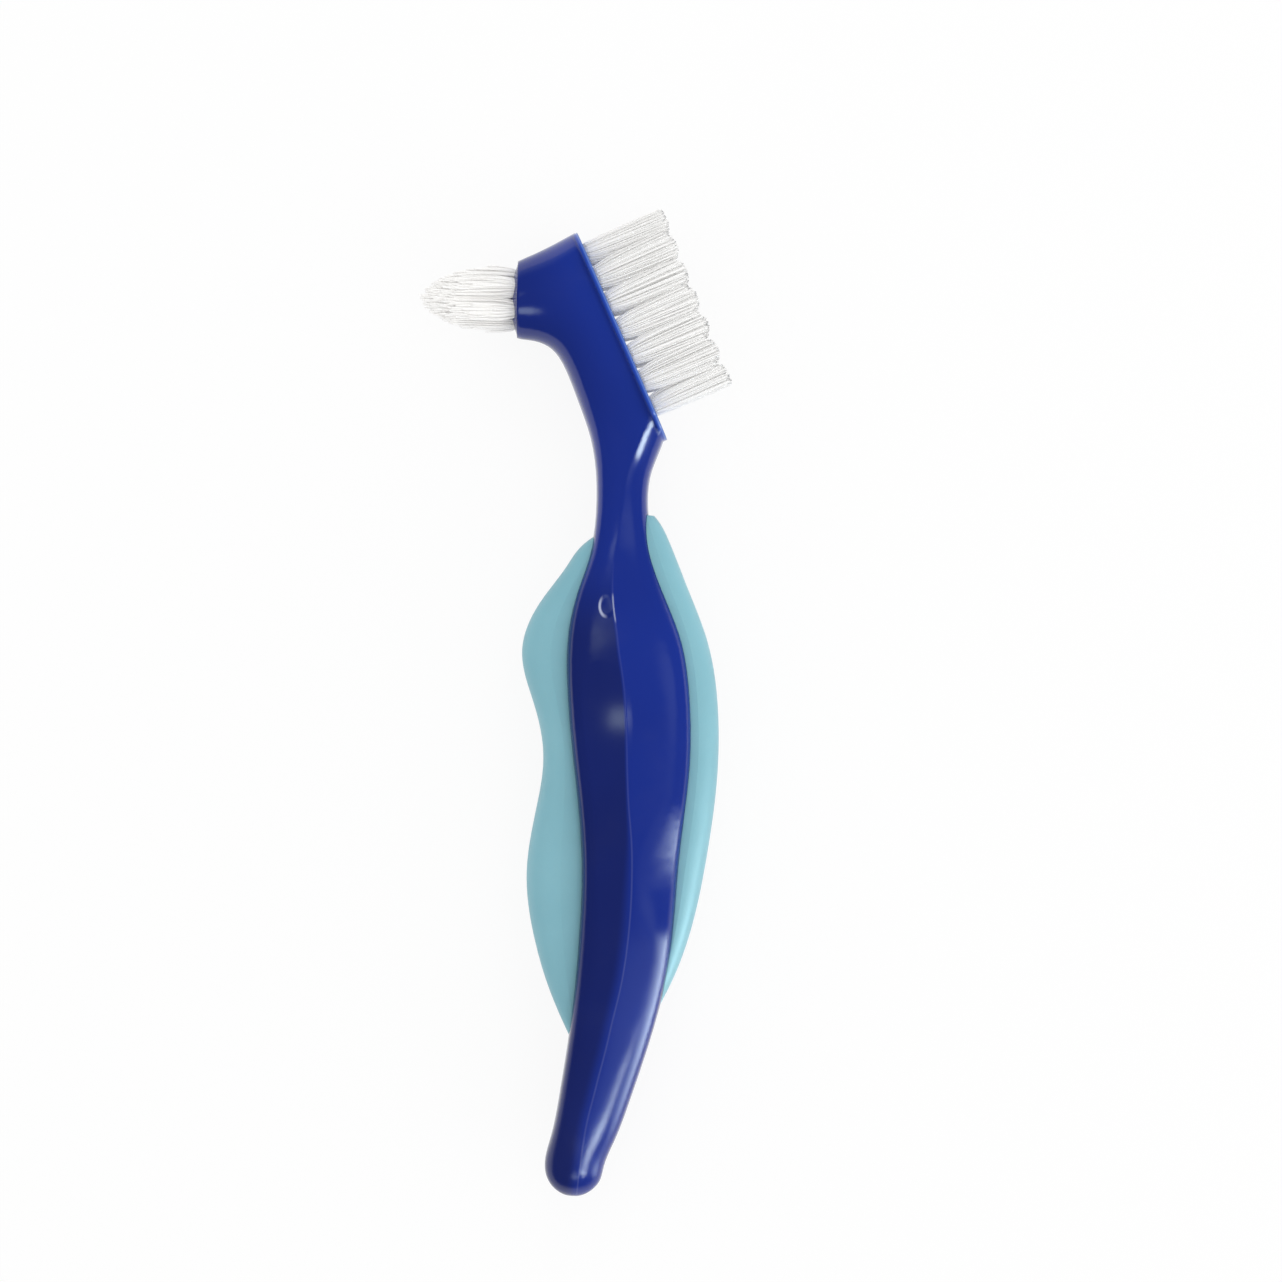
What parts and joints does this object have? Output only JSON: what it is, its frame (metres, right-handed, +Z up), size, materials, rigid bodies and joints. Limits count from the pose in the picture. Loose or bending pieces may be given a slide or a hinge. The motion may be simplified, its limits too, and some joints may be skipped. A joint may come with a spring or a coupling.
{
  "type": "denture brush",
  "caption": "Denture brush lying on its side: deep blue handle with pale soft grips, a long slanted white brush and, facing the other way, a small pointed one.",
  "frame": {"origin": "under the middle of the brush's bounding box, on the surface that it lies on", "axes": "+Y from the tail to the head, +X towards the large brush, +Z up across the thickness of the handle"},
  "size_m": [0.0522, 0.155, 0.0158],
  "materials": {
    "handle_plastic": "glossy moulded",
    "soft_grip": "satin",
    "large_bristle": "clear nylon filaments",
    "small_bristle": "white nylon filaments",
    "anchor_metal": "drawn wire"
  },
  "bodies": {
    "root": {"finger_grip": "soft_grip", "handle": "handle_plastic", "large_brush_anchors": "anchor_metal", "large_tuft_1_1": "large_bristle", "large_tuft_1_2": "large_bristle", "large_tuft_1_3": "large_bristle", "large_tuft_2_1": "large_bristle", "large_tuft_2_2": "large_bristle", "large_tuft_2_3": "large_bristle", "large_tuft_2_4": "large_bristle", "large_tuft_3_1": "large_bristle", "large_tuft_3_2": "large_bristle", "large_tuft_3_3": "large_bristle", "large_tuft_3_4": "large_bristle", "large_tuft_4_1": "large_bristle", "large_tuft_4_2": "large_bristle", "large_tuft_4_3": "large_bristle", "large_tuft_4_4": "large_bristle", "large_tuft_5_1": "large_bristle", "large_tuft_5_2": "large_bristle", "large_tuft_5_3": "large_bristle", "large_tuft_5_4": "large_bristle", "large_tuft_6_1": "large_bristle", "large_tuft_6_2": "large_bristle", "large_tuft_6_3": "large_bristle", "large_tuft_6_4": "large_bristle", "large_tuft_7_1": "large_bristle", "large_tuft_7_2": "large_bristle", "large_tuft_7_3": "large_bristle", "small_brush_anchors": "anchor_metal", "small_tuft_1": "small_bristle", "small_tuft_2": "small_bristle", "small_tuft_3": "small_bristle", "small_tuft_4": "small_bristle", "small_tuft_5": "small_bristle", "small_tuft_6": "small_bristle", "small_tuft_7": "small_bristle", "thumb_grip": "soft_grip"}
  },
  "joints": []
}
